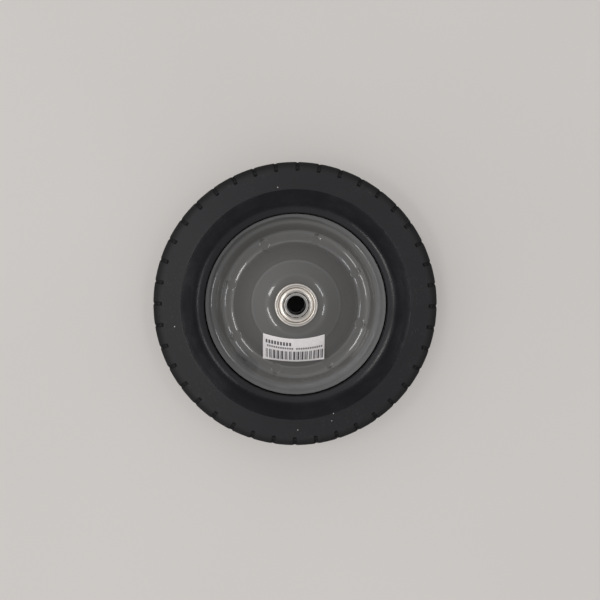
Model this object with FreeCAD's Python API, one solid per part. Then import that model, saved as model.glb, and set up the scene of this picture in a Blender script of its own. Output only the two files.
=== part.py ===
"""Steel wheel with a semi-pneumatic tyre, for a walk-behind machine.

Two pressed discs meet back to back in a valley and are spot-welded there in eight places. Their
flared rims clamp the wedge-shaped foot of a hollow rubber tyre. Each disc has a drawn collar
that holds a pressed-steel ball bearing: a flanged cup, a domed cap, loose balls and an inner
race that runs on the axle. A paper label is stuck on the cone of the upper disc.

Millimetres. The origin is the centre of the wheel and +Z is the axle line, so the wheel lies
on its side as on a bench, resting on the flat land of its tyre.
"""

import FreeCAD, Part
import math
import os
from FreeCAD import Vector

INCH = 25.4

# Overall sizes
tyre_diameter = 8.0 * INCH
tyre_width = 1.75 * INCH
hub_length = 44.0
bore_diameter = 0.5 * INCH
rim_diameter = 128.6

# Pressed disc, along its outer face from the collar to the rim
sheet = 1.5
collar_depth = 6.6
collar_bend_radius = 2.0
hub_face_drop = 1.9
hub_corner_radius = 20.3
hub_bend_radius = 16.0
dome_angle = 30.0
dome_crease_radius = 31.2
dome_bend_radius = 12.0
valley_radius = 48.5
valley_flat = 0.1
valley_bend_radius = 8.6
bowl_angle = 42.0
bowl_top_radius = 59.6
bowl_bend_radius = 6.6
lip_angle = 6.0
lip_edge_radius = 0.7

# Spot welds, pressed flat in the valley by an electrode
weld_count = 8
weld_first_angle = 28.0
weld_tip_radius = 3.4
weld_wall_angle = 48.0
weld_cut_height = 4.0

# Tyre section
rim_gap = 0.6
seat_clearance = 0.1
foot_tip_radius = 55.5
foot_tip_bend = 0.8
groove_root_radius = 0.4
undercut_height = 15.5
undercut_bend_radius = 3.0
nose_radius = 62.9
nose_bend_radius = 1.4
bead_angle = 40.0
bead_corner_radius = 66.4
bead_bend_radius = 9.0
crease_radius = 78.8
sidewall_fall = 16.3
crown_radius = 45.0
crown_half_angle = 15.0
chamber_width = 23.0
chamber_height = 15.0
chamber_cover = 11.0
chamber_corner = 5.5

# Tread
pitch_count = 40
notch_first_angle = 8.4
notch_tip_drop = 9.4
notch_end_depth = 0.3
notch_end_height = 11.0
notch_tip_half_width = 0.7
notch_half_width = 1.95
notch_taper_length = 5.0
notch_overrun = 2.0
notch_cut_height = 6.0
slot_half_width = 1.1
slot_depth = 1.8
groove_depth = 2.4
groove_outer_height = 9.2
groove_inner_height = 6.2
groove_draft = 0.3

# Ball bearing
cup_diameter = 1.0 * INCH
cup_wall = 1.0
cup_flange_diameter = 29.8
cup_flange_height = 1.4
cup_mouth_bend = 1.2
cup_flange_bend = 0.9
cup_under_bend = 0.3
cup_curl_angle = 80.0
ball_diameter = 3.0 / 16.0 * INCH
ball_count = 10
ball_depth = 3.9
ball_clearance = 0.03
race_wall = 1.9
race_edge_radius = 0.4
cap_wall = 0.8
cap_eye_gap = 0.55
press_gap = 0.02

# Paper label on the dome of the upper disc
label_width = 45.0
label_height = 22.5
label_thickness = 0.2
glue_thickness = 0.05
label_top_radius = 23.4
label_angle = -87.0
label_shift = -2.9

PARTS = "parts"
AXIS = Vector(0, 0, 1)
ORIGIN = Vector(0, 0, 0)

# Sizes that follow from the driving ones
half_width = tyre_width / 2
tyre_radius = tyre_diameter / 2
rim_radius = rim_diameter / 2
cup_radius = cup_diameter / 2
bore_radius = bore_diameter / 2
ball_radius = ball_diameter / 2
hub_face = hub_length / 2 - hub_face_drop
ball_height = hub_length / 2 - ball_depth
track_radius = ball_radius + ball_clearance
cup_inside = cup_radius - cup_wall
ball_circle = cup_inside - track_radius
race_radius = bore_radius + race_wall
sidewall_slope = math.tan(math.radians(sidewall_fall))
shoulder_end_angle = 90 - sidewall_fall


def at(radius, height):
    """A point of a section, in the half-plane that is turned about the axle."""
    return Vector(radius, 0, height)


def polar(centre, radius, degrees):
    """A point of a section at an angle above the outward direction, seen from a centre."""
    a = math.radians(degrees)
    return centre + at(radius * math.cos(a), radius * math.sin(a))


def line(start, end):
    return Part.LineSegment(start, end).toShape()


def arc(centre, radius, start, end):
    """An arc of a section between two angles in degrees."""
    return Part.Arc(*[polar(centre, radius, a) for a in (start, (start + end) / 2, end)]).toShape()


def across(u, v):
    """The cross product of two directions of a section: positive where v turns left of u."""
    return u.x * v.z - u.z * v.x


def crossing(p, u, q, v):
    """Where the line through p along u meets the line through q along v."""
    return p + u * (across(q - p, v) / across(u, v))


def beside(points, bends, distance):
    """A path of straight lines and the radii of its corners, both moved to the path's right."""
    steps = [(b - a).normalize() for a, b in zip(points, points[1:])]
    shifts = [at(d.z, -d.x) * distance for d in steps]
    moved = [points[0] + shifts[0]]
    radii = []
    for i, bend in enumerate(bends):
        corner, before, after = points[i + 1], steps[i], steps[i + 1]
        moved.append(crossing(corner + shifts[i], before, corner + shifts[i + 1], after))
        radii.append(bend + math.copysign(distance, across(before, after)))
    moved.append(points[-1] + shifts[-1])
    return moved, radii


def rounded(points, bends):
    """Edges of a path of straight lines whose corners are rounded to the given radii."""
    edges, start = [], points[0]
    for before, corner, after, bend in zip(points, points[1:], points[2:], bends):
        u, v = (before - corner).normalize(), (after - corner).normalize()
        half = u.getAngle(v) / 2
        first, last = [corner + d * (bend / math.tan(half)) for d in (u, v)]
        middle = corner + (u + v).normalize() * (bend / math.sin(half) - bend)
        edges += [line(start, first), Part.Arc(first, middle, last).toShape()]
        start = last
    return edges + [line(start, points[-1])]


def turned(edges):
    """The solid that a closed section sweeps about the axle."""
    solid = Part.Face(Part.Wire(Part.__sortEdges__(edges))).revolve(ORIGIN, AXIS, 360)
    return Part.makeSolid(solid.Shells[0]) if solid.Volume < 0 else solid


def opposite(shape):
    """The same piece on the wheel's lower side."""
    return shape.mirror(ORIGIN, AXIS)


def spun(shape, degrees):
    """A copy turned about the axle."""
    copy = shape.copy()
    copy.rotate(ORIGIN, AXIS, degrees)
    return copy


def ring_of(shape, count, first=0.0):
    """Copies of a shape spread evenly about the axle."""
    return [spun(shape, first + i * 360.0 / count) for i in range(count)]


def disc_path():
    """Corners and bends of the disc's outer face, from the collar's inner end to the rim."""
    collar = cup_radius + press_gap
    dome_drop = (dome_crease_radius - hub_corner_radius) * math.tan(math.radians(dome_angle))
    crease = at(dome_crease_radius, hub_face - dome_drop)
    to_bend = at(valley_radius - valley_flat, sheet + valley_bend_radius) - crease
    cone_fall = math.asin(valley_bend_radius / to_bend.Length) - math.atan2(to_bend.z, to_bend.x)
    cone_foot = valley_radius - valley_flat - valley_bend_radius * math.tan(cone_fall / 2)
    bowl_foot = valley_radius + valley_flat + valley_bend_radius * math.tan(math.radians(bowl_angle / 2))
    bowl_rise = (bowl_top_radius - bowl_foot) * math.tan(math.radians(bowl_angle))
    lip_rise = (rim_radius - bowl_top_radius) * math.tan(math.radians(lip_angle))
    points = [
        at(collar, hub_face - collar_depth),
        at(collar, hub_face),
        at(hub_corner_radius, hub_face),
        crease,
        at(cone_foot, sheet),
        at(bowl_foot, sheet),
        at(bowl_top_radius, sheet + bowl_rise),
        at(rim_radius, sheet + bowl_rise + lip_rise),
    ]
    bends = [collar_bend_radius, hub_bend_radius, dome_bend_radius]
    bends += [valley_bend_radius, valley_bend_radius, bowl_bend_radius]
    return points, bends


def weld_tools():
    """One spot weld: the metal pushed down to the other disc and the pocket left above it."""
    a = math.radians(weld_wall_angle)
    spread = weld_cut_height / math.tan(a)
    sole = weld_tip_radius + sheet * math.tan(a / 2)
    place = at(valley_radius, 0)
    boss = Part.makeCone(sole, sole + spread, weld_cut_height, place)
    pocket = Part.makeCone(weld_tip_radius, weld_tip_radius + spread, weld_cut_height, place + at(0, sheet))
    points, bends = disc_path()
    inner, outer = points[3], points[6]
    skin = rounded(points[3:7], bends[3:5])
    below = [line(outer, at(outer.x, 0)), line(at(outer.x, 0), at(inner.x, 0)), line(at(inner.x, 0), inner)]
    return boss.common(turned(skin + below)), pocket


def disc():
    """A pressed disc: collar, hub face, dome, valley, bowl and rim lip in one sheet."""
    points, bends = disc_path()
    back, back_bends = beside(points, bends, sheet)
    front = rounded(points + back[-1:], bends + [lip_edge_radius])
    body = turned(front + rounded(back, back_bends) + [line(points[0], back[0])])
    boss, pocket = weld_tools()
    body = body.fuse(ring_of(boss, weld_count, weld_first_angle))
    return body.cut(ring_of(pocket, weld_count, weld_first_angle)).removeSplitter()


def shoulder_radius():
    """The shoulder's radius that meets the crown and the straight sidewall smoothly."""
    crown, end = [polar(ORIGIN, 1, a) for a in (crown_half_angle, shoulder_end_angle)]
    inside = crease_radius - tyre_radius + crown_radius - crown_radius * crown.x
    rise = half_width - crown_radius * crown.z + inside * sidewall_slope
    return rise / (end.z - crown.z + (end.x - crown.x) * sidewall_slope)


def tyre_flank():
    """Edges of the tyre's upper side, from the foot's tip to the crown, and the crown's centre."""
    points, bends = disc_path()
    seat, seat_bends = beside(points, bends, sheet + seat_clearance)
    wall = rim_radius + rim_gap
    slope, lip = seat[6] - seat[5], seat[7] - seat[6]
    tip = crossing(seat[6], slope, at(foot_tip_radius, 0), AXIS)
    root = crossing(seat[6], lip, at(wall, 0), AXIS)
    crown = at(tyre_radius - crown_radius, 0)
    radius = shoulder_radius()
    shoulder = polar(crown, crown_radius - radius, crown_half_angle)
    crease = at(crease_radius, half_width)
    nose_drop = (bead_corner_radius - nose_radius) * math.tan(math.radians(bead_angle))
    path = [at(foot_tip_radius, 0), tip, seat[6], root, at(wall, undercut_height)]
    path += [at(nose_radius, crease.z - nose_drop), at(bead_corner_radius, crease.z), crease]
    bends = [foot_tip_bend, seat_bends[5], groove_root_radius]
    bends += [undercut_bend_radius, nose_bend_radius, bead_bend_radius]
    edges = rounded(path, bends)
    edges.append(line(crease, polar(shoulder, radius, shoulder_end_angle)))
    edges.append(arc(shoulder, radius, shoulder_end_angle, crown_half_angle))
    return edges, crown


def chamber():
    """The air chamber that runs round inside the tread."""
    top, side = tyre_radius - chamber_cover, chamber_width / 2
    bottom = top - chamber_height
    half = [at(bottom, 0), at(bottom, side), at(top, side), at(top, 0)]
    edges = rounded(half, [chamber_corner, chamber_corner])
    return turned(edges + [opposite(e) for e in edges])


def tread_groove():
    """The groove that runs round the crown between the middle rib and the shoulder blocks."""
    floor = tyre_radius - groove_depth
    top = tyre_radius + 1
    draft = groove_draft * (top - floor) / groove_depth
    corners = [
        at(floor, groove_inner_height + groove_draft),
        at(top, groove_inner_height + groove_draft - draft),
        at(top, groove_outer_height - groove_draft + draft),
        at(floor, groove_outer_height - groove_draft),
    ]
    return turned([line(a, b) for a, b in zip(corners, corners[1:] + corners[:1])])


def shoulder_notch():
    """One notch of the shoulder and the slot that leads from it to the groove."""
    tip_r = tyre_radius - notch_tip_drop
    tip = at(tip_r, half_width - (tip_r - crease_radius) * sidewall_slope)
    crown_x = tyre_radius - crown_radius
    end_r = crown_x + math.sqrt(crown_radius**2 - notch_end_height**2) - notch_end_depth
    end = at(end_r, notch_end_height)
    along = (end - tip).normalize()
    out = at(-along.z, along.x)
    length = (end - tip).Length + notch_overrun
    side = Vector(0, 1, 0)
    corners = [
        tip + side * notch_tip_half_width,
        tip + along * notch_taper_length + side * notch_half_width,
        tip + along * length + side * notch_half_width,
    ]
    low = [c - side * (2 * c.y) for c in reversed(corners)]
    blunt = Part.Arc(low[-1], tip - along * notch_tip_half_width, corners[0]).toShape()
    outline = [line(a, b) for a, b in zip(corners + low, corners[1:] + low)]
    notch = Part.Face(Part.Wire(Part.__sortEdges__(outline + [blunt]))).extrude(out * notch_cut_height)
    slot_height = notch_end_height + notch_overrun / 2 - groove_outer_height + groove_draft
    slot = Part.makeBox(
        notch_cut_height,
        2 * slot_half_width,
        slot_height,
        Vector(tyre_radius - slot_depth, -slot_half_width, groove_outer_height - groove_draft),
    )
    return notch.fuse(slot)


def tyre():
    """The moulded tyre: hollow, with a wedge foot below and notched shoulders above."""
    edges, crown = tyre_flank()
    crown_arc = arc(crown, crown_radius, crown_half_angle, -crown_half_angle)
    body = turned(edges + [crown_arc] + [opposite(e) for e in edges])
    cuts = ring_of(shoulder_notch(), pitch_count, notch_first_angle)
    cuts.append(tread_groove())
    cuts += [opposite(c) for c in cuts]
    return body.cut(cuts).cut(chamber())


def cup():
    """The bearing's outer cup: a flange on the hub face and a wall that curls under the balls."""
    centre = at(ball_circle, ball_height)
    lip = hub_face + cup_flange_height
    flange = cup_flange_diameter / 2
    path = [
        at(cup_inside, ball_height),
        at(cup_inside, lip),
        at(flange, lip),
        at(flange, hub_face),
        at(cup_radius, hub_face),
        at(cup_radius, ball_height),
    ]
    edges = rounded(path, [cup_mouth_bend, cup_flange_bend, cup_under_bend, cup_under_bend])
    shell = track_radius + cup_wall
    edges.append(arc(centre, track_radius, 0, -cup_curl_angle))
    edges.append(arc(centre, shell, 0, -cup_curl_angle))
    edges.append(line(*[polar(centre, r, -cup_curl_angle) for r in (track_radius, shell)]))
    return turned(edges)


def cap():
    """The domed ring that closes the bearing over the balls, pressed into the cup."""
    centre = at(ball_circle, ball_height)
    shell = track_radius + cap_wall
    reach = cup_inside - press_gap - ball_circle
    eye = race_radius + cap_eye_gap - ball_circle
    low, high = [math.degrees(math.acos(x / shell)) for x in (reach, eye)]
    edges = [arc(centre, r, low, high) for r in (track_radius, shell)]
    edges += [line(polar(centre, track_radius, a), polar(centre, shell, a)) for a in (low, high)]
    return turned(edges)


def inner_race():
    """The ring that runs on the axle, with the balls' track round its outside."""
    centre = at(ball_circle, ball_height)
    half_track = math.degrees(math.acos((ball_circle - race_radius) / track_radius))
    top, bottom = ball_height + ball_depth, ball_height - ball_depth
    upper = [polar(centre, track_radius, 180 - half_track), at(race_radius, top)]
    upper += [at(bore_radius, top), at(bore_radius, ball_height)]
    lower = [polar(centre, track_radius, 180 + half_track), at(race_radius, bottom)]
    lower += [at(bore_radius, bottom), at(bore_radius, ball_height)]
    edges = [arc(centre, track_radius, 180 - half_track, 180 + half_track)]
    for path in (upper, lower):
        edges += rounded(path, [race_edge_radius, race_edge_radius])
    return turned(edges)


def ball():
    return Part.makeSphere(ball_radius, at(ball_circle, ball_height))


def label_point(sideways, down, slope):
    """Where a point of the flat label lies, seen from above, once it is wrapped on the cone."""
    run = label_top_radius / math.cos(slope) + down
    turn = math.atan2(sideways, run) / math.cos(slope)
    radius = math.hypot(sideways, run) * math.cos(slope)
    a = math.radians(label_angle) + turn
    return Vector(radius * math.cos(a), radius * math.sin(a), 0)


def label():
    """A thin paper rectangle wrapped on the dome and the cone below it."""
    points, bends = disc_path()
    under, under_bends = beside(points, bends, -glue_thickness)
    over, over_bends = beside(points, bends, -glue_thickness - label_thickness)
    edges = rounded(under[1:6], under_bends[1:4]) + rounded(over[1:6], over_bends[1:4])
    edges += [line(under[i], over[i]) for i in (1, 5)]
    slope = math.atan2(points[2].z - points[4].z, points[4].x - points[2].x)
    left, right = label_shift - label_width / 2, label_shift + label_width / 2
    middle, below = (left + right) / 2, label_height / 2
    route = [(left, 0), (middle, 0), (right, 0), (right, below), (right, label_height)]
    route += [(middle, label_height), (left, label_height), (left, below), (left, 0)]
    spots = [label_point(x, y, slope) for x, y in route]
    outline = [Part.Arc(*spots[i:i + 3]).toShape() for i in (0, 2, 4, 6)]
    prism = Part.Face(Part.Wire(outline)).extrude(AXIS * hub_length)
    return turned(edges).common(prism)


def build():
    """Every piece by name."""
    pieces = {"tyre": tyre(), "upper_disc": disc()}
    pieces["lower_disc"] = opposite(pieces["upper_disc"])
    upper = {"bearing_cup": cup(), "bearing_cap": cap(), "inner_race": inner_race()}
    for i, piece in enumerate(ring_of(ball(), ball_count)):
        upper[f"ball_{i + 1:02d}"] = piece
    for name, piece in upper.items():
        pieces[f"upper_{name}"] = piece
        pieces[f"lower_{name}"] = opposite(piece)
    pieces["paper_label"] = label()
    return pieces


os.makedirs(PARTS, exist_ok=True)
for name, piece in build().items():
    solid = piece.Solids[0] if len(piece.Solids) == 1 else piece
    print(f"{name}: {len(piece.Solids)} solid, {solid.Volume:.1f} mm3, valid {solid.isValid()}")
    solid.exportStep(f"{PARTS}/{name}.step")
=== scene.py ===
"""Looks of a steel disc wheel with a semi-pneumatic tyre, lying on a pale bench and seen from above.

The tyre, the two pressed discs, the paper label and the cup, cap and race of each bearing get finer
meshes of their own, which stand for their solids. Only the balls keep theirs. Lengths in the code
are in millimetres until a mesh is made, as on a drawing. Lamps and bump distances are in metres.
"""

import math

import bpy
import numpy as np
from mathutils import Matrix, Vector


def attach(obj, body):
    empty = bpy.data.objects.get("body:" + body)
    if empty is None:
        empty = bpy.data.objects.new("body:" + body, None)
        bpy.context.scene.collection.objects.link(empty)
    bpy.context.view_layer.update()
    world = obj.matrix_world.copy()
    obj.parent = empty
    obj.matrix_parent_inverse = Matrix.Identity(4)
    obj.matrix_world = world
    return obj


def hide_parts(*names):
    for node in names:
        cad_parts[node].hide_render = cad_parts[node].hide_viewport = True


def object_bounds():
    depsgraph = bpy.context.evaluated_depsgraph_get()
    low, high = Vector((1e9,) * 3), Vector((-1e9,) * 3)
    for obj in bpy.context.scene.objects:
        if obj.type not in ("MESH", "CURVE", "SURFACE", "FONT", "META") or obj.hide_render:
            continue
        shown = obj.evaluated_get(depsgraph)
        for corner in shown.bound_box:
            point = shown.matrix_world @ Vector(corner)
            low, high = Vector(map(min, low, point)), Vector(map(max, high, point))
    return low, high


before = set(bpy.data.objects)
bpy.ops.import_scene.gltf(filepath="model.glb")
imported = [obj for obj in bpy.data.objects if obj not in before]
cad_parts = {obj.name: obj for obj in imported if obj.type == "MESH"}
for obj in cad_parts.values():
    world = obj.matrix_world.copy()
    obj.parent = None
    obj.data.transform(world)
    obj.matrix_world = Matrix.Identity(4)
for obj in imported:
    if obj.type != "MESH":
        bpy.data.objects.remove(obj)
cad_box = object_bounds()

MM = 0.001

# Pressed disc, along its outer face
SHEET = 1.5
COLLAR_RADIUS = 12.72
COLLAR_DEPTH = 6.6
HUB_FACE = 20.1
HUB_CORNER_RADIUS = 20.3
DOME_CREASE_RADIUS = 31.2
DOME_ANGLE = 30.0
VALLEY_RADIUS = 48.5
VALLEY_FLAT = 0.1
VALLEY_BEND_RADIUS = 8.6
BOWL_TOP_RADIUS = 59.6
BOWL_ANGLE = 42.0
RIM_RADIUS = 64.42
LIP_ANGLE = 6.0
DISC_BENDS = (2.0, 16.0, 20.0, VALLEY_BEND_RADIUS, VALLEY_BEND_RADIUS, 6.6)
LIP_EDGE_RADIUS = 0.4
DISC_COLUMNS = 576

# Spot welds, and the radii between which the disc's mesh is finer for them
WELD_COUNT = 8
WELD_FIRST_ANGLE = 28.0
WELD_TIP_RADIUS = 3.4
WELD_WALL_ANGLE = 48.0
WELD_REACH = 9.0
WELD_SOFT = 0.35
WELD_ZONE = (42.5, 56.5)
WELD_STEP = 0.55

# Ball bearing
CUP_OUTSIDE = 12.7
CUP_WALL = 1.0
CUP_MOUTH = 12.15
FLANGE_RADIUS = 14.9
FLANGE_HEIGHT = 1.4
CUP_BENDS = (0.9, 1.2, 0.3, 0.3)
CUP_CURL_ANGLE = 80.0
BALL_HEIGHT = 18.1
BALL_CIRCLE = 9.28875
TRACK_RADIUS = 2.41125
CAP_WALL = 0.8
CAP_REACH = 11.68
CAP_EDGE = 12.05
CAP_EYE = 8.8
CAP_BEVEL = 0.1
CAP_BEVEL_ANGLE = 2.0
BORE_RADIUS = 6.35
RACE_RADIUS = 8.25
RACE_HALF_LENGTH = 3.9
RACE_EDGE_RADIUS = 0.4
RING_COLUMNS = 192
RING_SHARP_ANGLE = 40.0
BALL_SHARP_ANGLE = 32.0

# Tyre section
TYRE_RADIUS = 101.6
HALF_WIDTH = 22.225
WALL_RADIUS = 64.9
FOOT_TIP_RADIUS = 55.5
FOOT_TIP_BEND = 0.8
SEAT_GAP = 0.1
ROOT_BEND = 0.4
UNDERCUT_HEIGHT = 15.5
NOSE_RADIUS = 62.9
BEAD_ANGLE = 40.0
BEAD_CORNER_RADIUS = 67.15
BEAD_BENDS = (3.0, 1.4, 11.0)
CREASE_RADIUS = 78.8
CREASE_BEND = 1.2
SIDEWALL_FALL = 16.3
CROWN_RADIUS = 45.0
CROWN_HALF_ANGLE = 15.0

# Tread notches
PITCH_COUNT = 40
NOTCH_FIRST_ANGLE = 8.4
NOTCH_TIP_DROP = 9.4
NOTCH_END_DEPTH = 0.3
NOTCH_END_HEIGHT = 11.0
NOTCH_OVERRUN = 1.0
NOTCH_TIP_HALF_WIDTH = 0.95
NOTCH_HALF_WIDTH = 1.45
NOTCH_TAPER_LENGTH = 5.0
NOTCH_STEP = 0.9
NOTCH_STEP_LENGTH = 0.35
# Painted shade in the notches, fading out from SHADE_START over SHADE_LENGTH along the notch
SHADE_START = 2.5
SHADE_LENGTH = 2.2

# The section's row just inside the notches' tips, and the clear stretch before them
TIP_LEAD = 0.2
TIP_CLEAR = 0.8

# Slot from each notch into the tread's groove, and how far it runs past the two
SLOT_HALF_WIDTH = 1.1
SLOT_DEPTH = 1.8
SLOT_EDGE = 0.1
SLOT_START = 0.7
SLOT_INTO_GROOVE = 0.35
SLOT_INTO_NOTCH = 0.6

# Tread's groove, with the depth and turn of its edge's points, then the rise and inset of its root's
GROOVE_DEPTH = 2.4
GROOVE_OUTER_HEIGHT = 9.2
GROOVE_INNER_HEIGHT = 6.2
GROOVE_EDGE = ((0.1, 0.1), (0.5, 0.0))
GROOVE_ROOT = ((0.4, 0.3), (0.0, 0.8))
GROOVE_MARGIN_ANGLE = 0.4

# Columns of the tyre's grid from a notch's middle to halfway to the next one, how far each is pressed in, and
# how much painted shade it gets
NOTCH_WALL = 0.22
NOTCH_MARGIN = 0.7
FREE_SHARES = (0.4, 1.0)
COLUMN_PRESS = (1, 1, 0.5, 0, 0, 0, 0)
COLUMN_SHADE = (1, 1, 1, 0.6, 0, 0, 0)

# Paper label, flat
LABEL_WIDTH = 45.0
LABEL_HEIGHT = 22.5
LABEL_TOP_RADIUS = 23.4
LABEL_ANGLE = -90.0
LABEL_SHIFT = -1.8
LABEL_GAP = 0.06
LABEL_THICKNESS = 0.18
LABEL_LIFT = 2.5
LABEL_COLUMNS = 61
LABEL_ROWS = 31
UV_SPAN = 100.0

# Print on the label, from its lower left corner: left, right, bottom and top
BAR_FIELD = (2.2, 43.9, 1.8, 10.2)
FIRST_ROW = (2.2, 21.5, 15.4, 18.6)
SECOND_ROW = (2.8, 43.4, 12.2, 13.9)
BAR_WAVES = ((0.97, 0.0), (1.61, 1.0), (2.9, 2.0))
PRINT_SOFT = 0.12

# Rubber's tones, one of them a painted shade for the notches and the tread, the radii over which two of them
# come in, and dust specks: x, y and radius
RUBBER = (0.0052, 0.0047, 0.0066)
RUBBER_BLOOM = (0.0084, 0.0076, 0.0100)
RUBBER_DUSTY = (0.0086, 0.0074, 0.0088)
RUBBER_RUBBED = (0.10, 0.096, 0.092)
RUBBER_SPECK = (0.25, 0.24, 0.23)
RUBBER_PAINTED_SHADE = (0.0015, 0.0015, 0.0015)
DUST_TONE = (0.55, 0.53, 0.50)
FLANK_START = (78.4, 79.2)
TREAD_SHADE_START = (92.0, 98.5)
DUST = ((-83.0, -14.5, 0.55), (25.5, -74.5, 0.45), (24.5, -80.0, 0.4), (1.0, -86.5, 0.45), (-12.6, 80.0, 0.5))

# Enamel's tones, and the radii over which they come in and go out; the hub face and the cone get painted
# light, the dome painted shade
ENAMEL_DEEP = (0.079, 0.0775, 0.0735)
ENAMEL_PALE = (0.090, 0.0882, 0.084)
ENAMEL_HUB_PAINTED_LIGHT = (0.108, 0.106, 0.1015)
ENAMEL_DOME_PAINTED_SHADE = (0.064, 0.0625, 0.0585)
ENAMEL_CONE_PAINTED_LIGHT = (0.137, 0.1345, 0.130)
ENAMEL_WIPED = (0.040, 0.040, 0.039)
ENAMEL_SCRATCH = (0.32, 0.32, 0.31)
HUB_END = (18.5, 21.5)
DOME_START = (20.0, 23.0)
DOME_END = (29.0, 33.0)
CONE_LIGHT_START = (29.0, 34.0)
CONE_LIGHT_END = (50.0, 54.0)
SCRATCH_START = (40.0, 52.0)

# Wiped patch on the enamel, as the places and the radius of its spots
WIPED = ((-38.5, -38.5), (-35.5, -42.0), (-32.0, -45.0))
WIPED_RADIUS = 6.0

# Dry film on the rim, whose inner edge is a ring that swings out towards an angle, with painted light towards
# the rim's edge
FILM_RADIUS = 60.05
FILM_SWING = 2.45
FILM_ANGLE = 125.0
FILM_EDGE = (-0.5, 0.7)
FILM_DEEP = (0.138, 0.1385, 0.138)
FILM_PALE = (0.166, 0.1665, 0.166)
FILM_RIM_PAINTED_LIGHT = (0.228, 0.227, 0.224)
RIM_LIGHT_START = (61.0, 63.6)

# Metals, and the radius inside which the race is painted dark, a painted shade for the bore
ZINC = (0.72, 0.675, 0.62)
TURNED_STEEL = (0.60, 0.585, 0.56)
BALL_STEEL = (0.30, 0.28, 0.25)
TARNISH = 0.8
BORE_PAINTED_SHADE = (0.01, 0.01, 0.012)
BORE_SHADE_RADIUS = 6.65
BORE_SHADE_SOFT = 0.1

# Paper, ink and bench top, and the share of the bench's colour that is seen in any shade
PAPER_DEEP = (0.74, 0.705, 0.70)
PAPER_PALE = (0.80, 0.765, 0.76)
INK = (0.035, 0.035, 0.04)
BENCH_DEEP = (0.60, 0.575, 0.55)
BENCH_PALE = (0.625, 0.60, 0.575)
BENCH_HALF_SIZE = 1500.0
GLOW_SHARE = 0.33
GLOW_START = (60.0, 100.0)

# Camera, from the size and place of the wheel's rings in the photo
CAMERA_HEIGHT = 318.3
CAMERA_X = -4.3
CAMERA_Y = 11.3
CAMERA_PITCH = -1.49
CAMERA_ROLL = -1.32
FOCAL_PIXELS = 434.5
IMAGE_PIXELS = 600.0
SENSOR = 36.0

# Lamp panels, in metres: azimuth, tilt from overhead, size across and along, watts and colour
CEILING = 1.8
WARM = (1.0, 0.985, 0.96)
COOL = (0.97, 0.98, 1.0)
LAMPS = (
    ("lamp_left_far", 153, 31, 0.46, 0.40, 4.9, WARM),
    ("lamp_left_near", 210, 30, 0.25, 0.75, 5.4, WARM),
    ("lamp_right_far", 28, 29, 0.25, 0.48, 2.7, COOL),
    ("lamp_right_near", 346, 28, 0.22, 0.36, 1.8, COOL),
)

# Room light, how much stronger it is from each direction, and its level from the side to overhead
ROOM = 1.11
LEAN = (-0.29, 0.13, 0.0)
SKY_SIDE = (0.77, 0.765, 0.775)
SKY_OVERHEAD = (0.20, 0.20, 0.205)
SKY_LEVELS = ((0.80, 0.77), (0.90, 0.25))
SKY_TINT = (1.0, 0.995, 1.01)


def polar(centre, radius, degrees):
    """A point of a section, seen from a centre at an angle above the outward direction."""
    a = math.radians(degrees)
    return np.array([centre[0] + radius * math.cos(a), centre[1] + radius * math.sin(a)])


def arc(centre, radius, start, end, steps):
    """Points along an arc, from one angle to another."""
    return [polar(centre, radius, a) for a in np.linspace(start, end, steps + 1)]


def run(start, end, steps):
    """Points along a straight stretch."""
    return [start + (end - start) * t for t in np.linspace(0, 1, steps + 1)]


def divided(start, end, step):
    """Points along a straight stretch, at most a step apart."""
    return run(start, end, max(1, math.ceil(np.linalg.norm(end - start) / step)))


def turn_of(u, v):
    """Positive where direction v turns left of u."""
    return u[0] * v[1] - u[1] * v[0]


def unit(v):
    return v / np.linalg.norm(v)


def crossing(p, u, q, v):
    """Where the line through p along u meets the line through q along v."""
    return p + u * (turn_of(q - p, v) / turn_of(u, v))


def beside(points, bends, distance):
    """A path and its bends, both moved to the path's right."""
    steps = [unit(b - a) for a, b in zip(points, points[1:])]
    shifts = [np.array([d[1], -d[0]]) * distance for d in steps]
    moved, radii = [points[0] + shifts[0]], []
    for i, bend in enumerate(bends):
        corner = points[i + 1]
        moved.append(crossing(corner + shifts[i], steps[i], corner + shifts[i + 1], steps[i + 1]))
        radii.append(bend + math.copysign(distance, turn_of(steps[i], steps[i + 1])))
    return moved + [points[-1] + shifts[-1]], radii


def rounded(points, bends, step, bend_step=6.0):
    """Points along a path with rounded corners, at most a step apart, and some degrees in the bends."""
    found, start = [points[0]], points[0]
    for before, corner, after, bend in zip(points, points[1:], points[2:], bends):
        u, v = unit(before - corner), unit(after - corner)
        half = math.acos(float(np.clip(u @ v, -1, 1))) / 2
        first, last = corner + u * (bend / math.tan(half)), corner + v * (bend / math.tan(half))
        middle = corner + unit(u + v) * (bend / math.sin(half))
        found += divided(start, first, step)[1:]
        a = math.atan2(first[1] - middle[1], first[0] - middle[0])
        b = math.atan2(last[1] - middle[1], last[0] - middle[0])
        sweep = (b - a + math.pi) % (2 * math.pi) - math.pi
        count = max(2, math.ceil(abs(math.degrees(sweep)) / bend_step))
        turns = np.linspace(a, a + sweep, count + 1)[1:]
        found += [middle + bend * np.array([math.cos(c), math.sin(c)]) for c in turns]
        start = last
    return found + divided(start, points[-1], step)[1:]


def turned(section, columns):
    """Where a section's points lie in each of the columns round the axle."""
    phi = np.linspace(0, 2 * math.pi, columns, endpoint=False)
    height = np.repeat(section[:, 1:], columns, axis=1)
    return section[:, :1] * np.cos(phi), section[:, :1] * np.sin(phi), height


def ring_faces(rows, columns, flip):
    """Quads of a grid that closes round the axle and across its rows, turned over if flip is true."""
    faces = []
    for i in range(rows):
        a, b = i * columns, ((i + 1) % rows) * columns
        for j in range(columns):
            k = (j + 1) % columns
            faces.append((b + j, b + k, a + k, a + j) if flip else (a + j, a + k, b + k, b + j))
    return faces


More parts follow.
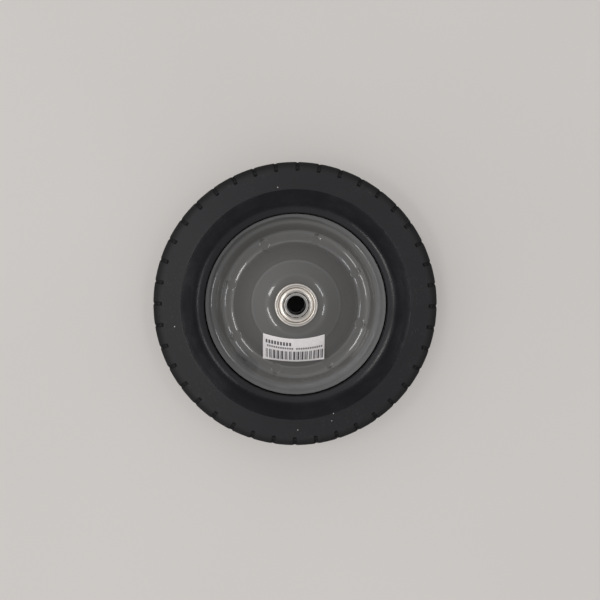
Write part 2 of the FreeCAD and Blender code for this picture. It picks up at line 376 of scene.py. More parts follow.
def new_mesh(name, vertices, faces, smooth=True):
    """An object from vertices in millimetres."""
    mesh = bpy.data.meshes.new(name)
    mesh.from_pydata((np.asarray(vertices) * MM).tolist(), [], faces)
    mesh.update()
    mesh.polygons.foreach_set("use_smooth", [smooth] * len(mesh.polygons))
    obj = bpy.data.objects.new(name, mesh)
    bpy.context.scene.collection.objects.link(obj)
    return obj


def disc_path():
    """Corners of the disc's outer face, from the collar's inner end to the rim."""
    crease = HUB_FACE - (DOME_CREASE_RADIUS - HUB_CORNER_RADIUS) * math.tan(math.radians(DOME_ANGLE))
    over, down = VALLEY_RADIUS - VALLEY_FLAT - DOME_CREASE_RADIUS, crease - SHEET - VALLEY_BEND_RADIUS
    cone_fall = math.asin(VALLEY_BEND_RADIUS / math.hypot(over, down)) + math.atan2(down, over)
    cone_foot = VALLEY_RADIUS - VALLEY_FLAT - VALLEY_BEND_RADIUS * math.tan(cone_fall / 2)
    bowl_foot = VALLEY_RADIUS + VALLEY_FLAT + VALLEY_BEND_RADIUS * math.tan(math.radians(BOWL_ANGLE / 2))
    bowl_rise = (BOWL_TOP_RADIUS - bowl_foot) * math.tan(math.radians(BOWL_ANGLE))
    lip_rise = (RIM_RADIUS - BOWL_TOP_RADIUS) * math.tan(math.radians(LIP_ANGLE))
    corners = [
        (COLLAR_RADIUS, HUB_FACE - COLLAR_DEPTH),
        (COLLAR_RADIUS, HUB_FACE),
        (HUB_CORNER_RADIUS, HUB_FACE),
        (DOME_CREASE_RADIUS, crease),
        (cone_foot, SHEET),
        (bowl_foot, SHEET),
        (BOWL_TOP_RADIUS, SHEET + bowl_rise),
        (RIM_RADIUS, SHEET + bowl_rise + lip_rise),
    ]
    return [np.array(c) for c in corners]


def weld_pocket(x, y, z):
    """The height of the disc's face at a point, with the spot welds pressed into the valley."""
    spacing = 2 * math.pi / WELD_COUNT
    angle = np.arctan2(y, x) - math.radians(WELD_FIRST_ANGLE)
    off = angle - np.round(angle / spacing) * spacing
    radius = np.hypot(x, y)
    away = np.hypot(radius * np.cos(off) - VALLEY_RADIUS, radius * np.sin(off))
    pocket = SHEET + np.maximum(away - WELD_TIP_RADIUS, 0) * math.tan(math.radians(WELD_WALL_ANGLE))
    blend = np.clip(0.5 + (pocket - z) / (2 * WELD_SOFT), 0, 1)
    lower = pocket * (1 - blend) + z * blend - WELD_SOFT * blend * (1 - blend)
    return np.where(away < WELD_REACH, lower, z)


def make_disc(name, side):
    """One pressed disc as a closed shell. side is 1 for the upper one and -1 for the lower."""
    points = disc_path()
    back, back_bends = beside(points, DISC_BENDS, SHEET)
    front = rounded(points + back[-1:], [*DISC_BENDS, LIP_EDGE_RADIUS], step=4.0)
    face = []
    for a, b in zip(front, front[1:]):
        near = WELD_ZONE[0] < (a[0] + b[0]) / 2 < WELD_ZONE[1]
        face += divided(a, b, WELD_STEP)[:-1] if near else [a]
    face.append(front[-1])
    section = np.array(face + rounded(back, back_bends, step=6.0, bend_step=9.0)[::-1][1:])
    x, y, z = turned(section, DISC_COLUMNS)
    count = len(face)
    z[:count] = weld_pocket(x[:count], y[:count], z[:count])
    vertices = np.stack([x, y, side * z], axis=-1).reshape(-1, 3)
    return new_mesh(name, vertices, ring_faces(len(section), DISC_COLUMNS, flip=side > 0))


def shoulder_radius():
    """The shoulder's radius that meets the crown and the straight sidewall smoothly."""
    crown, end = [polar((0, 0), 1, a) for a in (CROWN_HALF_ANGLE, 90 - SIDEWALL_FALL)]
    slope = math.tan(math.radians(SIDEWALL_FALL))
    inside = CREASE_RADIUS - TYRE_RADIUS + CROWN_RADIUS * (1 - crown[0])
    rise = HALF_WIDTH - CROWN_RADIUS * crown[1] + inside * slope
    return rise / (end[1] - crown[1] + (end[0] - crown[0]) * slope)


def crown_angle(height):
    """The angle at which the crown is at a height."""
    return math.degrees(math.asin(height / CROWN_RADIUS))


def groove_wall(crown, height, side):
    """A wall of the tread's groove, from the crown down. side is 1 for the outer and -1 for the inner one."""
    angle, floor = crown_angle(height), TYRE_RADIUS - GROOVE_DEPTH
    wall = [polar(crown, CROWN_RADIUS - drop, angle + side * turn) for drop, turn in GROOVE_EDGE]
    return wall + [np.array([floor + rise, height - side * inset]) for rise, inset in GROOVE_ROOT]


def tyre_section():
    """Half the tyre's section, from the foot's tip to the middle of the crown."""
    seat, seat_bends = beside(disc_path(), DISC_BENDS, SHEET + SEAT_GAP)
    up = np.array([0.0, 1.0])
    slope, lip = seat[6] - seat[5], seat[7] - seat[6]
    radius = shoulder_radius()
    crown = np.array([TYRE_RADIUS - CROWN_RADIUS, 0.0])
    shoulder = polar(crown, CROWN_RADIUS - radius, CROWN_HALF_ANGLE)
    flank = polar(shoulder, radius, 90 - SIDEWALL_FALL)
    corners = [
        (FOOT_TIP_RADIUS, 0.0),
        crossing(seat[6], slope, np.array([FOOT_TIP_RADIUS, 0.0]), up),
        seat[6],
        crossing(seat[6], lip, np.array([WALL_RADIUS, 0.0]), up),
        (WALL_RADIUS, UNDERCUT_HEIGHT),
        (NOSE_RADIUS, HALF_WIDTH - (BEAD_CORNER_RADIUS - NOSE_RADIUS) * math.tan(math.radians(BEAD_ANGLE))),
        (BEAD_CORNER_RADIUS, HALF_WIDTH),
        (CREASE_RADIUS, HALF_WIDTH),
        flank,
    ]
    bends = [FOOT_TIP_BEND, seat_bends[5], ROOT_BEND, *BEAD_BENDS, CREASE_BEND]
    section = rounded([np.array(c) for c in corners], bends, step=3.0, bend_step=9.0)
    start = section.pop()
    tip = notch_frame()[0]
    section = [p for p in section if p[0] < tip[0] - TIP_CLEAR]
    section += [tip - (flank - tip) * TIP_LEAD] + run(tip, start, steps=6)
    section += arc(shoulder, radius, 90 - SIDEWALL_FALL, CROWN_HALF_ANGLE, steps=15)[1:]
    outer_edge = crown_angle(GROOVE_OUTER_HEIGHT) + GROOVE_MARGIN_ANGLE
    inner_edge = crown_angle(GROOVE_INNER_HEIGHT) - GROOVE_MARGIN_ANGLE
    section += arc(crown, CROWN_RADIUS, CROWN_HALF_ANGLE, outer_edge, steps=4)[1:]
    section += groove_wall(crown, GROOVE_OUTER_HEIGHT, 1)
    section += groove_wall(crown, GROOVE_INNER_HEIGHT, -1)[::-1]
    section += arc(crown, CROWN_RADIUS, inner_edge, 0.0, steps=4)
    return np.array(section)


def notch_frame():
    """The tip of a notch, the direction along its floor and the one out of it, and its length."""
    tip_r = TYRE_RADIUS - NOTCH_TIP_DROP
    tip = np.array([tip_r, HALF_WIDTH - (tip_r - CREASE_RADIUS) * math.tan(math.radians(SIDEWALL_FALL))])
    end_r = TYRE_RADIUS - CROWN_RADIUS + math.sqrt(CROWN_RADIUS**2 - NOTCH_END_HEIGHT**2) - NOTCH_END_DEPTH
    end = np.array([end_r, NOTCH_END_HEIGHT])
    along = unit(end - tip)
    return tip, along, np.array([-along[1], along[0]]), np.linalg.norm(end - tip)


def notch_columns(flat):
    """For each column of one notch's pitch, the section there and its angle from the notch, and its painted
    shade.
    """
    radius, height = flat[:, 0], flat[:, 1]
    tip, along, out, length = notch_frame()
    u = (flat - tip) @ along
    step = NOTCH_STEP * np.clip(u / NOTCH_STEP_LENGTH, 0, 1) * np.clip(1 - u / length, 0, 1)
    depth = (flat - tip) @ out + step
    inside = (u > 0) & (u < length + NOTCH_OVERRUN) & (depth > 0)
    fade = np.clip(1 - (u - SHADE_START) / SHADE_LENGTH, 0, 1)
    taper = np.clip(u / NOTCH_TAPER_LENGTH, 0, 1)
    wide = NOTCH_TIP_HALF_WIDTH + (NOTCH_HALF_WIDTH - NOTCH_TIP_HALF_WIDTH) * taper
    wide = np.where(height < NOTCH_END_HEIGHT - SLOT_START, SLOT_HALF_WIDTH, wide)
    margin, free = wide + NOTCH_MARGIN, math.pi / PITCH_COUNT * radius - wide - NOTCH_MARGIN
    offsets = [wide * 0, wide - NOTCH_WALL, wide, wide + NOTCH_WALL, margin]
    offsets += [margin + free * share for share in FREE_SHARES]
    slot = (height > GROOVE_OUTER_HEIGHT - SLOT_INTO_GROOVE) & (height < NOTCH_END_HEIGHT + SLOT_INTO_NOTCH)
    floor, last = TYRE_RADIUS - SLOT_DEPTH, len(offsets) - 1
    rows, shades = [], []
    for i, side in [(i, -1) for i in range(last - 1, 0, -1)] + [(i, 1) for i in range(last + 1)]:
        point = flat.copy()
        point[inside] -= np.outer(depth[inside] * COLUMN_PRESS[i], out)
        deep = slot & (point[:, 0] > floor) & (offsets[i] < SLOT_HALF_WIDTH - SLOT_EDGE)
        point[deep, 0] = floor
        rows.append((point, side * offsets[i] / radius))
        shades.append(inside * COLUMN_SHADE[i] * fade)
    return rows, shades


def make_tyre():
    """The tyre's outer skin, closed below by its foot, with the notches pressed into the grid."""
    half = tyre_section()
    section = np.vstack([half, (half[:-1] * [1, -1])[::-1][:-1]])
    rows, shades = notch_columns(np.abs(section))
    columns = []
    for k in range(PITCH_COUNT):
        base = math.radians(NOTCH_FIRST_ANGLE + k * 360.0 / PITCH_COUNT)
        for point, offset in rows:
            a = base + offset
            z = np.where(section[:, 1] < 0, -point[:, 1], point[:, 1])
            columns.append(np.stack([point[:, 0] * np.cos(a), point[:, 0] * np.sin(a), z], axis=1))
    vertices = np.transpose(np.array(columns), (1, 0, 2)).reshape(-1, 3)
    obj = new_mesh("tyre_rubber", vertices, ring_faces(len(section), len(columns), flip=True))
    # painted shade of the notches, kept on the mesh's points
    shade = obj.data.attributes.new("shade", "FLOAT", "POINT")
    shade.data.foreach_set("value", np.tile(np.array(shades), (PITCH_COUNT, 1)).T.ravel())
    return obj


def cup_section():
    """The closed section of the bearing's flanged cup."""
    centre, lip = (BALL_CIRCLE, BALL_HEIGHT), HUB_FACE + FLANGE_HEIGHT
    path = [(CUP_MOUTH, BALL_HEIGHT), (CUP_MOUTH, lip), (FLANGE_RADIUS, lip), (FLANGE_RADIUS, HUB_FACE)]
    path += [(CUP_OUTSIDE, HUB_FACE), (CUP_OUTSIDE, BALL_HEIGHT)]
    loop = rounded([np.array(p) for p in path], CUP_BENDS, step=1.0)
    loop += arc(centre, TRACK_RADIUS + CUP_WALL, 0, -CUP_CURL_ANGLE, steps=12)[1:]
    return loop + arc(centre, TRACK_RADIUS, -CUP_CURL_ANGLE, 0, steps=12)[:-1]


def cap_section():
    """The closed section of the domed ring over the balls."""
    centre, shell = (BALL_CIRCLE, BALL_HEIGHT), TRACK_RADIUS + CAP_WALL
    low, high = [math.degrees(math.acos((r - BALL_CIRCLE) / shell)) for r in (CAP_REACH, CAP_EYE)]
    loop = arc(centre, shell, low + CAP_BEVEL_ANGLE, high - CAP_BEVEL_ANGLE, steps=20)
    loop += [polar(centre, shell - CAP_BEVEL, high), polar(centre, TRACK_RADIUS, high)]
    loop += arc(centre, TRACK_RADIUS, high, low, steps=12)[1:] + [polar(centre, shell - CAP_BEVEL, low)]
    spread = (CAP_EDGE - CAP_EYE) / (CAP_REACH - CAP_EYE)
    return [np.array([CAP_EYE + (r - CAP_EYE) * spread, z]) for r, z in loop]


def race_section():
    """The closed section of the inner race."""
    centre = (BALL_CIRCLE, BALL_HEIGHT)
    half_track = math.degrees(math.acos((BALL_CIRCLE - RACE_RADIUS) / TRACK_RADIUS))
    loop = []
    for side in (1, -1):
        end = BALL_HEIGHT + side * RACE_HALF_LENGTH
        path = [polar(centre, TRACK_RADIUS, 180 - side * half_track), (RACE_RADIUS, end), (BORE_RADIUS, end)]
        path.append((BORE_RADIUS, BALL_HEIGHT))
        points = rounded([np.array(p) for p in path], (RACE_EDGE_RADIUS, RACE_EDGE_RADIUS), step=1.0)
        loop += points if side > 0 else points[::-1][1:]
    return loop + arc(centre, TRACK_RADIUS, 180 + half_track, 180 - half_track, steps=16)[1:-1]


def make_ring(name, loop, side):
    """A ring turned from a closed section. side is 1 for the upper one and -1 for the lower."""
    loop = np.array(loop)
    ahead = np.roll(loop, -1, axis=0)
    area = np.sum(loop[:, 0] * ahead[:, 1] - ahead[:, 0] * loop[:, 1])
    x, y, z = turned(loop, RING_COLUMNS)
    vertices = np.stack([x, y, side * z], axis=-1).reshape(-1, 3)
    obj = new_mesh(name, vertices, ring_faces(len(loop), RING_COLUMNS, flip=area * side < 0))
    obj.modifiers.new("edges", "EDGE_SPLIT").split_angle = math.radians(RING_SHARP_ANGLE)
    return obj


def label_face(radius):
    """The height of the disc's outer face under the label."""
    path = np.array(rounded(disc_path()[1:6], DISC_BENDS[1:4], step=1.0, bend_step=3.0))
    return np.interp(radius, path[:, 0], path[:, 1])


def sheet_faces(across, down):
    """Quads of a thin closed sheet, from the grid of its upper side, that of its lower side and its rim."""
    n = across * down
    faces = []
    for i in range(down - 1):
        for j in range(across - 1):
            a, b = i * across + j, (i + 1) * across + j
            faces.append((a, b, b + 1, a + 1))
            faces.append((n + a, n + a + 1, n + b + 1, n + b))
    rim = list(range(across))
    rim += [i * across + across - 1 for i in range(1, down)]
    rim += [(down - 1) * across + j for j in range(across - 2, -1, -1)]
    rim += [i * across for i in range(down - 2, 0, -1)]
    return faces + [(a, b, n + b, n + a) for a, b in zip(rim, rim[1:] + rim[:1])]


def make_label():
    """A thin closed sheet wrapped on the dome, whose UV map is its flat place as a share of UV_SPAN."""
    hub, foot = disc_path()[2], disc_path()[4]
    slope = math.atan2(hub[1] - foot[1], foot[0] - hub[0])
    xs = np.linspace(LABEL_SHIFT - LABEL_WIDTH / 2, LABEL_SHIFT + LABEL_WIDTH / 2, LABEL_COLUMNS)
    gx, gy = np.meshgrid(xs, np.linspace(0, LABEL_HEIGHT, LABEL_ROWS))
    span = LABEL_TOP_RADIUS / math.cos(slope) + gy
    angle = math.radians(LABEL_ANGLE) + np.arctan2(gx, span) / math.cos(slope)
    radius = np.hypot(gx, span) * math.cos(slope)
    level = label_face(radius)
    corner = np.abs(gx - LABEL_SHIFT) / (LABEL_WIDTH / 2)
    lift = LABEL_LIFT * corner**3 * (gy / LABEL_HEIGHT) ** 2
    vertices = []
    for gap in (LABEL_GAP + LABEL_THICKNESS, LABEL_GAP):
        z = level + (gap + lift) / math.cos(slope)
        vertices.append(np.stack([radius * np.cos(angle), radius * np.sin(angle), z], axis=-1).reshape(-1, 3))
    obj = new_mesh("label_sheet", np.vstack(vertices), sheet_faces(LABEL_COLUMNS, LABEL_ROWS))
    flat = np.stack([gx - xs[0], LABEL_HEIGHT - gy], axis=-1).reshape(-1, 2)
    layer = obj.data.uv_layers.new(name="flat")
    for loop in obj.data.loops:
        layer.data[loop.index].uv = flat[loop.vertex_index % len(flat)] / UV_SPAN
    return obj


class Graph:
    """A material's node tree, with short ways to add the nodes that it needs."""

    def __init__(self, name):
        self.material = bpy.data.materials.new(name)
        self.material.use_nodes = True
        self.tree = self.material.node_tree
        self.shader = self.tree.nodes["Principled BSDF"]
        self.coords = self.tree.nodes.new("ShaderNodeTexCoord")
        self.place = self.coords.outputs["Object"]

    def add(self, kind, inputs=(), **settings):
        node = self.tree.nodes.new(kind)
        for key, value in settings.items():
            setattr(node, key, value)
        for key, value in dict(inputs).items():
            self.feed(value, node.inputs[key])
        return node

    def feed(self, value, socket):
        """Link a socket to another, or set it to a value."""
        if isinstance(value, bpy.types.NodeSocket):
            self.tree.links.new(value, socket)
        else:
            socket.default_value = value

    def math(self, operation, a, b=0.0):
        return self.add("ShaderNodeMath", {0: a, 1: b}, operation=operation).outputs[0]

    def plus(self, a, b):
        return self.math("ADD", a, b)

    def minus(self, a, b):
        return self.math("SUBTRACT", a, b)

    def times(self, a, b):
        return self.math("MULTIPLY", a, b)

    def length(self, x, y):
        return self.math("SQRT", self.plus(self.times(x, x), self.times(y, y)))

    def vector(self, *parts):
        return self.add("ShaderNodeCombineXYZ", dict(enumerate(parts))).outputs[0]

    def noise(self, vector, scale, detail=4.0, roughness=0.55, distortion=0.0):
        inputs = {"Vector": vector, "Scale": scale, "Detail": detail}
        inputs |= {"Roughness": roughness, "Distortion": distortion}
        return self.add("ShaderNodeTexNoise", inputs).outputs["Fac"]

    def cells(self, scale):
        """The distance from the nearest of some scattered points."""
        inputs = {"Vector": self.place, "Scale": scale, "Randomness": 1.0}
        return self.add("ShaderNodeTexVoronoi", inputs).outputs["Distance"]

    def band(self, value, low, high, to_low=0.0, to_high=1.0):
        """A value that runs smoothly between two others while the given one runs from low to high."""
        inputs = {"Value": value, "From Min": low, "From Max": high, "To Min": to_low, "To Max": to_high}
        return self.add("ShaderNodeMapRange", inputs, interpolation_type="SMOOTHSTEP").outputs["Result"]

    def mix(self, factor, a, b):
        """Two colours mixed, each a socket or its red, green and blue."""
        a, b = [c if isinstance(c, bpy.types.NodeSocket) else (*c, 1) for c in (a, b)]
        return self.add("ShaderNodeMix", {0: factor, 6: a, 7: b}, data_type="RGBA").outputs[2]

    def bump(self, height, strength, distance, normal=None):
        inputs = {"Height": height, "Strength": strength, "Distance": distance}
        if normal is not None:
            inputs["Normal"] = normal
        return self.add("ShaderNodeBump", inputs).outputs["Normal"]

    def polar(self):
        """The distance from the axle in millimetres, the angle round it, and the height."""
        x, y, z = self.add("ShaderNodeSeparateXYZ", {0: self.place}).outputs
        return self.times(self.length(x, y), 1 / MM), self.math("ARCTAN2", y, x), self.times(z, 1 / MM)

    def spot(self, x, y, radius):
        """A soft round mask about an upright line, in millimetres."""
        parts = self.add("ShaderNodeSeparateXYZ", {0: self.place})
        away = self.length(self.minus(parts.outputs[0], x * MM), self.minus(parts.outputs[1], y * MM))
        return self.band(away, radius * MM * 0.5, radius * MM, 1.0, 0.0)

    def finish(self, **sockets):
        for name, value in sockets.items():
            self.feed(value, self.shader.inputs[name.replace("_", " ")])
        return self.material


def rubber():
    """Black moulded rubber: shiny round the bead, with a dusty bloom, rubbed marks and specks, and painted
    shade in the notches and on the tread.
    """
    g = Graph("moulded_rubber")
    radius, angle, height = g.polar()
    ring = g.vector(g.times(radius, 0.05), angle, g.times(height, 0.05))
    streaks = g.noise(ring, 6.0, 5.0, 0.6)
    blotch = g.noise(g.place, 28.0, 5.0, 0.6, 0.6)
    bloom = g.times(g.band(blotch, 0.35, 0.7), g.band(streaks, 0.3, 0.7, 0.4, 1.0))
    colour = g.mix(bloom, RUBBER, RUBBER_BLOOM)
    flank = g.band(radius, *FLANK_START)
    colour = g.mix(g.times(flank, g.band(streaks, 0.2, 0.8, 0.35, 0.9)), colour, RUBBER_DUSTY)
    scuffs = g.band(g.noise(ring, 42.0, 3.0, 0.7), 0.57, 0.72)
    rubbed = g.times(g.times(scuffs, g.band(blotch, 0.46, 0.62)), flank)
    colour = g.mix(g.times(rubbed, 0.5), colour, RUBBER_RUBBED)
    tiny = g.band(g.cells(120.0), 0.02, 0.05, 1.0, 0.0)
    rare = g.band(g.noise(g.place, 60.0, 1.0), 0.62, 0.66)
    colour = g.mix(g.times(g.times(tiny, rare), 0.5), colour, RUBBER_SPECK)
    for x, y, size in DUST:
        colour = g.mix(g.times(g.spot(x, y, size), 0.9), colour, DUST_TONE)
    # painted shade: the notches and the tread beyond the shoulder are darkened, where the rubber lies in
    # shadow
    shade = g.add("ShaderNodeAttribute", attribute_name="shade").outputs["Fac"]
    painted_shade = g.math("MAXIMUM", shade, g.times(g.band(radius, *TREAD_SHADE_START), 0.9))
    colour = g.mix(painted_shade, colour, RUBBER_PAINTED_SHADE)
    pores = g.bump(g.noise(g.place, 900.0, 3.0, 0.6), 0.22, 0.00006)
    normal = g.bump(g.noise(g.place, 110.0, 3.0, 0.5), 0.3, 0.0004, pores)
    rough = g.plus(g.band(flank, 0.0, 1.0, 0.21, 0.46), g.times(bloom, 0.09))
    rough = g.plus(rough, g.times(painted_shade, 0.45))
    return g.finish(Base_Color=colour, Roughness=rough, Normal=normal, Specular_IOR_Level=0.32)


def enamel_tone(g, radius):
    """The enamel's colour, a little paler or darker at random and with the wiped patch, and painted light and
    shade from ring to ring.
    """
    cloud = g.noise(g.place, 16.0, 3.0, 0.5, 0.4)
    colour = g.mix(g.band(cloud, 0.3, 0.7), ENAMEL_DEEP, ENAMEL_PALE)
    # painted light and shade: the flat hub face and the cone are painted lighter and the dome darker, for the
    # light each one gets
    hub = g.band(radius, *HUB_END, 1.0, 0.0)
    colour = g.mix(g.times(hub, 0.7), colour, ENAMEL_HUB_PAINTED_LIGHT)
    dome = g.times(g.band(radius, *DOME_START), g.band(radius, *DOME_END, 1.0, 0.0))
    colour = g.mix(g.times(dome, 0.8), colour, ENAMEL_DOME_PAINTED_SHADE)
    cone_light = g.times(g.band(radius, *CONE_LIGHT_START), g.band(radius, *CONE_LIGHT_END, 1.0, 0.0))
    colour = g.mix(g.times(cone_light, 0.88), colour, ENAMEL_CONE_PAINTED_LIGHT)
    for x, y in WIPED:
        colour = g.mix(g.times(g.spot(x, y, WIPED_RADIUS), 0.5), colour, ENAMEL_WIPED)
    return colour


def enamel():
    """Glossy grey enamel, dulled by a dry film on the rim lip, with nibs, smears and scratches, painted light
    and shade from ring to ring, and painted light near the rim's edge.
    """
    g = Graph("grey_enamel")
    radius, angle, height = g.polar()
    colour = enamel_tone(g, radius)
    ragged = g.times(g.minus(g.noise(g.place, 22.0, 4.0, 0.6), 0.5), 3.0)
    swing = g.times(g.math("COSINE", g.minus(angle, math.radians(FILM_ANGLE))), FILM_SWING)
    edge = g.minus(g.minus(g.plus(radius, ragged), FILM_RADIUS), swing)
    film = g.times(g.band(edge, *FILM_EDGE), g.band(height, 0.0, 1.0))
    mottle = g.noise(g.place, 70.0, 5.0, 0.7)
    hazy = g.mix(g.band(mottle, 0.3, 0.7), FILM_DEEP, FILM_PALE)
    # painted light: the film is paler towards the rim's rounded edge
    hazy = g.mix(g.band(radius, *RIM_LIGHT_START), hazy, FILM_RIM_PAINTED_LIGHT)
    colour = g.mix(g.times(film, 0.9), colour, hazy)
    hair = g.noise(g.vector(g.times(radius, 0.9), g.times(angle, 5.0)), 3.0, 2.0, 0.5)
    line = g.band(g.math("ABSOLUTE", g.minus(hair, 0.5)), 0.0, 0.008, 1.0, 0.0)
    scratch = g.times(g.times(line, g.band(mottle, 0.55, 0.68)), g.band(radius, *SCRATCH_START))
    colour = g.mix(g.times(scratch, 0.5), colour, ENAMEL_SCRATCH)
    nib = g.times(g.band(g.cells(75.0), 0.0, 0.06, 1.0, 0.0), g.band(g.noise(g.place, 30.0, 1.0), 0.6, 0.64))
    normal = g.bump(g.noise(g.place, 420.0, 2.0, 0.5), 0.06, 0.0003)
    normal = g.bump(g.noise(g.place, 34.0, 2.0, 0.5), 0.2, 0.0012, normal)
    normal = g.bump(nib, 0.6, 0.0003, normal)
    smear = g.band(g.noise(g.place, 45.0, 5.0, 0.65, 1.2), 0.52, 0.72)
    rough = g.plus(g.band(smear, 0.0, 1.0, 0.32, 0.42), g.times(film, 0.22))
    g.shader.inputs["Coat Roughness"].default_value = 0.05
    g.shader.inputs["Coat IOR"].default_value = 1.5
    g.feed(g.minus(1.0, g.times(film, 0.85)), g.shader.inputs["Coat Weight"])
    g.feed(normal, g.shader.inputs["Coat Normal"])
    return g.finish(Base_Color=colour, Roughness=rough, Normal=normal, Specular_IOR_Level=0.3)


def plated(name, tint, rough_low, rough_high, shade_within=0.0):
    """Plated or turned steel, with faint rings and a slight tarnish, and painted shade inside a radius."""
    g = Graph(name)
    radius, angle, height = g.polar()
    lines = g.noise(g.vector(g.plus(radius, height), g.times(angle, 0.1)), 1.6, 3.0, 0.6)
    cloud = g.noise(g.place, 110.0, 3.0, 0.5)
    colour = g.mix(g.band(cloud, 0.4, 0.7, 0.0, 0.7), tint, [c * TARNISH for c in tint])
    # painted shade: inside the radius the race is painted near black, for the bore that lies in shadow
    bore_shade = g.band(radius, shade_within - BORE_SHADE_SOFT, shade_within + BORE_SHADE_SOFT, 1.0, 0.0)
    colour = g.mix(bore_shade, colour, BORE_PAINTED_SHADE)
    uneven = g.plus(g.times(cloud, 0.5), g.times(lines, 0.5))
    g.shader.inputs["Metallic"].default_value = 1.0
    return g.finish(Base_Color=colour, Roughness=g.band(uneven, 0.35, 0.65, rough_low, rough_high))


def paper():
    """White label paper with plain printed bars and dashes, which say nothing."""
    g = Graph("label_paper")
    parts = g.add("ShaderNodeSeparateXYZ", {0: g.coords.outputs["UV"]})
    x = g.times(parts.outputs[0], UV_SPAN)
    y = g.times(parts.outputs[1], UV_SPAN)

    def within(value, low, high):
        start = g.band(value, low - PRINT_SOFT, low + PRINT_SOFT)
        return g.times(start, g.band(value, high - PRINT_SOFT, high + PRINT_SOFT, 1.0, 0.0))

    def wave(length, phase):
        return g.math("SINE", g.plus(g.times(x, 2 * math.pi / length), phase))

    def dashes(pitch, share, gaps):
        """Even dashes along the label, a few of them left out."""
        place = g.math("DIVIDE", x, pitch)
        dash = g.math("LESS_THAN", g.math("FRACT", place), share)
        number = g.plus(g.math("FLOOR", place), pitch)
        cell = g.add("ShaderNodeTexWhiteNoise", {"W": number}, noise_dimensions="1D")
        return g.times(dash, g.math("GREATER_THAN", cell.outputs["Value"], gaps))

    def printed(pattern, left, right, bottom, top):
        return g.times(pattern, g.times(within(x, left, right), within(y, bottom, top)))

    waves = [wave(length, phase) for length, phase in BAR_WAVES]
    bars = printed(g.band(g.plus(waves[0], g.plus(waves[1], waves[2])), -0.35, 0.05), *BAR_FIELD)
    first = printed(dashes(2.15, 0.66, 0.0), *FIRST_ROW)
    second = printed(dashes(1.62, 0.7, 0.12), *SECOND_ROW)
    ink = g.math("MAXIMUM", bars, g.math("MAXIMUM", first, g.times(second, 0.9)))
    fibre = g.noise(g.place, 500.0, 4.0, 0.6)
    colour = g.mix(g.times(ink, 0.93), g.mix(g.band(fibre, 0.3, 0.7), PAPER_DEEP, PAPER_PALE), INK)
    normal = g.bump(fibre, 0.1, 0.00005)
    return g.finish(Base_Color=colour, Roughness=0.62, Normal=normal, Specular_IOR_Level=0.3)


def bench():
    """A plain pale bench top, a little cloudy, whose shadows are kept light for the eye and for mirrors."""
    g = Graph("bench_top")
    cloud = g.noise(g.place, 2.2, 3.0, 0.5)
    colour = g.mix(g.band(cloud, 0.3, 0.7), BENCH_DEEP, BENCH_PALE)
    glow = g.add("ShaderNodeEmission", {"Color": colour})
    rays = g.add("ShaderNodeLightPath").outputs
    mirrored = g.math("MAXIMUM", rays["Is Glossy Ray"], rays["Is Transmission Ray"])
    seen = g.math("MAXIMUM", rays["Is Camera Ray"], mirrored)
    share = g.times(g.times(seen, g.band(g.polar()[0], *GLOW_START)), GLOW_SHARE)
    both = g.add("ShaderNodeMixShader", {0: share, 1: g.shader.outputs[0], 2: glow.outputs[0]})
    g.tree.links.new(both.outputs[0], g.tree.nodes["Material Output"].inputs["Surface"])
    return g.finish(Base_Color=colour, Roughness=0.8, Specular_IOR_Level=0.2)


def dress(obj, material):
    obj.data.materials.clear()
    obj.data.materials.append(material)
    return obj


def polish(obj):
    """Smooth shading with crisp edges on a solid of the frame, whose mesh keeps its points."""
    obj.data.polygons.foreach_set("use_smooth", [True] * len(obj.data.polygons))
    weld = obj.modifiers.new("weld", "WELD")
    weld.merge_threshold = 1e-6
    split = obj.modifiers.new("edges", "EDGE_SPLIT")
    split.split_angle = math.radians(BALL_SHARP_ANGLE)
    weighted = obj.modifiers.new("normals", "WEIGHTED_NORMAL")
    weighted.mode = "FACE_AREA"
    weighted.keep_sharp = True


def add_panel(name, azimuth, tilt, across, along, power, colour):
    """A ceiling lamp panel that faces down, its size given across and along its circle about the wheel."""
    lamp = bpy.data.lights.new(name, "AREA")
    lamp.shape = "RECTANGLE"
    lamp.size = across
    lamp.size_y = along
    lamp.energy = power
    lamp.color = colour
    obj = bpy.data.objects.new(name, lamp)
    bpy.context.scene.collection.objects.link(obj)
    a, away = math.radians(azimuth), CEILING * math.tan(math.radians(tilt))
    obj.location = (away * math.cos(a), away * math.sin(a), CEILING)
    obj.rotation_euler = (0, 0, a)


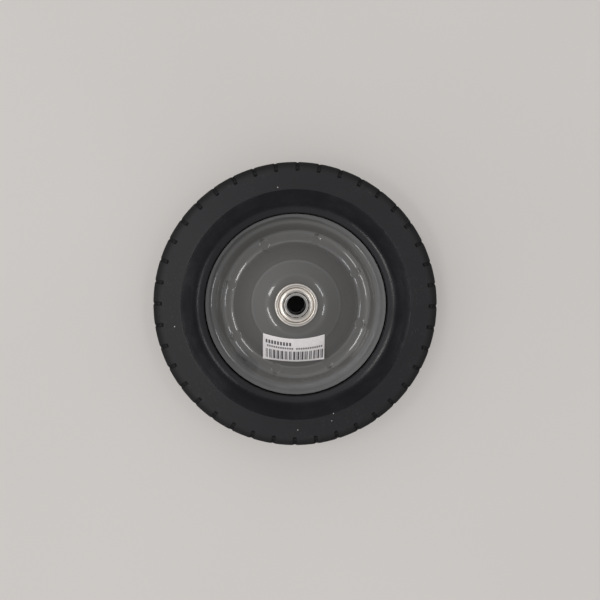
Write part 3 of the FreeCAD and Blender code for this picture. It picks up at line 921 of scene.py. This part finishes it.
def make_world():
    """Even room light, stronger from the left and dim overhead, where the camera is held."""
    world = bpy.data.worlds.new("room")
    world.use_nodes = True
    tree = world.node_tree
    background = tree.nodes["Background"]
    coords = tree.nodes.new("ShaderNodeTexCoord")
    parts = tree.nodes.new("ShaderNodeSeparateXYZ")
    tree.links.new(coords.outputs["Generated"], parts.inputs[0])
    ramp = tree.nodes.new("ShaderNodeValToRGB")
    low, high = ramp.color_ramp.elements
    low.position, low.color = 0.0, (*SKY_SIDE, 1)
    high.position, high.color = 1.0, (*SKY_OVERHEAD, 1)
    for position, level in SKY_LEVELS:
        ramp.color_ramp.elements.new(position).color = (*[level * c for c in SKY_TINT], 1)
    tree.links.new(parts.outputs[2], ramp.inputs["Fac"])
    tree.links.new(ramp.outputs["Color"], background.inputs["Color"])
    lean = tree.nodes.new("ShaderNodeVectorMath")
    lean.operation = "DOT_PRODUCT"
    lean.inputs[1].default_value = LEAN
    tree.links.new(coords.outputs["Generated"], lean.inputs[0])
    strength = tree.nodes.new("ShaderNodeMath")
    strength.operation = "MULTIPLY_ADD"
    strength.inputs[1].default_value = ROOM
    strength.inputs[2].default_value = ROOM
    tree.links.new(lean.outputs["Value"], strength.inputs[0])
    tree.links.new(strength.outputs[0], background.inputs["Strength"])
    bpy.context.scene.world = world


def make_floor():
    size, level = BENCH_HALF_SIZE, cad_box[0][2] / MM
    corners = [(-size, -size, level), (size, -size, level), (size, size, level), (-size, size, level)]
    floor = new_mesh("bench", corners, [(0, 1, 2, 3)], smooth=False)
    dress(floor, bench())


def make_camera():
    camera = bpy.data.cameras.new("camera")
    camera.sensor_width = SENSOR
    camera.lens = FOCAL_PIXELS * SENSOR / IMAGE_PIXELS
    obj = bpy.data.objects.new("camera", camera)
    bpy.context.scene.collection.objects.link(obj)
    obj.location = Vector((CAMERA_X, CAMERA_Y, CAMERA_HEIGHT)) * MM
    obj.rotation_euler = (math.radians(CAMERA_PITCH), math.radians(CAMERA_ROLL), 0)
    bpy.context.scene.camera = obj


bpy.context.scene.view_settings.view_transform = "Standard"
make_camera()
for panel in LAMPS:
    add_panel(*panel)
make_world()
make_floor()

paint = enamel()
tyre = dress(make_tyre(), rubber())
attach(tyre, "wheel")
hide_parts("tyre")
for name, side in (("upper_disc", 1), ("lower_disc", -1)):
    disc = dress(make_disc(name + "_pressing", side), paint)
    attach(disc, "wheel")
    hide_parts(name)
sticker = dress(make_label(), paper())
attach(sticker, "wheel")
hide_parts("paper_label")

zinc = plated("zinc_plate", ZINC, 0.28, 0.34)
steel = plated("turned_steel", TURNED_STEEL, 0.30, 0.36, BORE_SHADE_RADIUS)
bright = plated("ball_steel", BALL_STEEL, 0.10, 0.18)
RINGS = (
    ("bearing_cup", cup_section(), zinc, "bearing_zinc", "wheel"),
    ("bearing_cap", cap_section(), zinc, "bearing_zinc", "wheel"),
    ("inner_race", race_section(), steel, "race_steel", "{}_race"),
)
for end, side in (("upper", 1), ("lower", -1)):
    for node, section, material, slot, body in RINGS:
        ring = dress(make_ring(f"{end}_{node}_ring", section, side), material)
        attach(ring, body.format(end))
        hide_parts(f"{end}_{node}")
for node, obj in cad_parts.items():
    if "_ball_" in node:
        polish(obj)
        dress(obj, bright)
